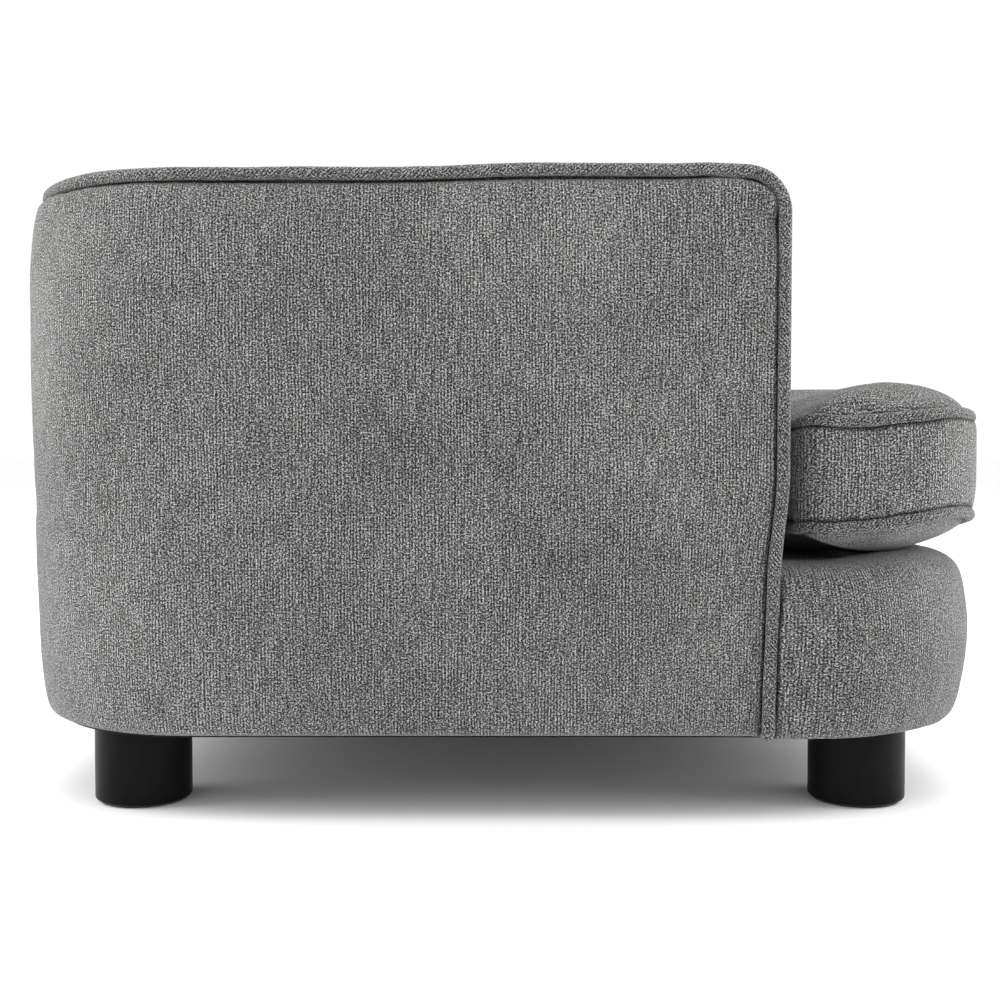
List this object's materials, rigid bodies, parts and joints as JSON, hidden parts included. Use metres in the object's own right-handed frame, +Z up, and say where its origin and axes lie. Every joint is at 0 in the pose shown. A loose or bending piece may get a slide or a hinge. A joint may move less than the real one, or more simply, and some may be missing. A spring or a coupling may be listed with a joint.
{
  "type": "upholstered dog sofa bed",
  "caption": "Low upholstered dog sofa with a wooden frame, rounded corners, corded edges, round legs and a loose zipped seat cushion that wraps in front of the arms.",
  "frame": {"origin": "on the floor under the middle of the sofa", "axes": "+X along the width, -Y out of the open front, +Z up; left is the -X side"},
  "size_m": [0.92, 0.634, 0.399],
  "materials": {
    "chenille": "matte",
    "piping": "matte",
    "foam": "matte",
    "frame_timber": "matte",
    "plywood": "matte",
    "dust_cloth": "matte",
    "leg_black": "satin",
    "glide_felt": "matte",
    "zinc_steel": "satin",
    "zip_tape": "matte",
    "zip_nylon": "satin",
    "zip_metal": "satin"
  },
  "bodies": {
    "sofa": {"front_rail": "frame_timber", "rear_rail": "frame_timber", "left_side_rail": "frame_timber", "right_side_rail": "frame_timber", "centre_rail": "frame_timber", "corner_blocks": "frame_timber", "seat_deck": "plywood", "left_arm_outer_board": "plywood", "right_arm_outer_board": "plywood", "left_arm_inner_board": "plywood", "right_arm_inner_board": "plywood", "arm_front_posts": "frame_timber", "arm_top_rails": "frame_timber", "back_outer_board": "plywood", "back_inner_board": "plywood", "back_top_rail": "frame_timber", "front_bent_corners": "plywood", "rear_bent_corners": "plywood", "left_arm_side_pad": "foam", "right_arm_side_pad": "foam", "rear_corner_pads": "foam", "back_outer_pad": "foam", "left_arm_inner_pad": "foam", "right_arm_inner_pad": "foam", "back_inner_pad": "foam", "arm_front_pads": "foam", "left_arm_top_pad": "foam", "right_arm_top_pad": "foam", "back_top_pad": "foam", "base_front_pad": "foam", "deck_pad": "foam", "outer_cover": "chenille", "left_arm_cover": "chenille", "right_arm_cover": "chenille", "back_cover": "chenille", "base_front_cover": "chenille", "deck_cover": "chenille", "dust_cover": "dust_cloth", "outer_welt": "piping", "leg_front_left": "leg_black", "leg_front_right": "leg_black", "leg_rear_left": "leg_black", "leg_rear_right": "leg_black", "leg_glides": "glide_felt", "hanger_bolts": "zinc_steel", "tee_nuts": "zinc_steel", "deck_screws": "zinc_steel", "dust_cover_staples": "zinc_steel"},
    "seat_cushion": {"cushion_core": "foam", "cushion_top_panel": "chenille", "cushion_bottom_panel": "chenille", "cushion_band": "chenille", "cushion_top_welt": "piping", "cushion_bottom_welt": "piping", "zip_tape": "zip_tape", "zip_teeth": "zip_nylon"},
    "zip_slider_body": {"zip_slider": "zip_metal"},
    "zip_pull_body": {"zip_pull": "zip_metal"}
  },
  "joints": [
    {"name": "cushion_lift", "type": "slide", "parent": "sofa", "child": "seat_cushion", "axis": [0, 0, 1], "range_m": [0, 0.26]},
    {"name": "zip_slide", "type": "slide", "parent": "seat_cushion", "child": "zip_slider_body", "axis": [1, 0, 0], "range_m": [0, 0.488]},
    {"name": "zip_pull_swing", "type": "hinge", "parent": "zip_slider_body", "child": "zip_pull_body", "pos_m": [-0.244, 0.2071, 0.211], "axis": [0, 0, 1], "range_deg": [0, 20]}
  ]
}
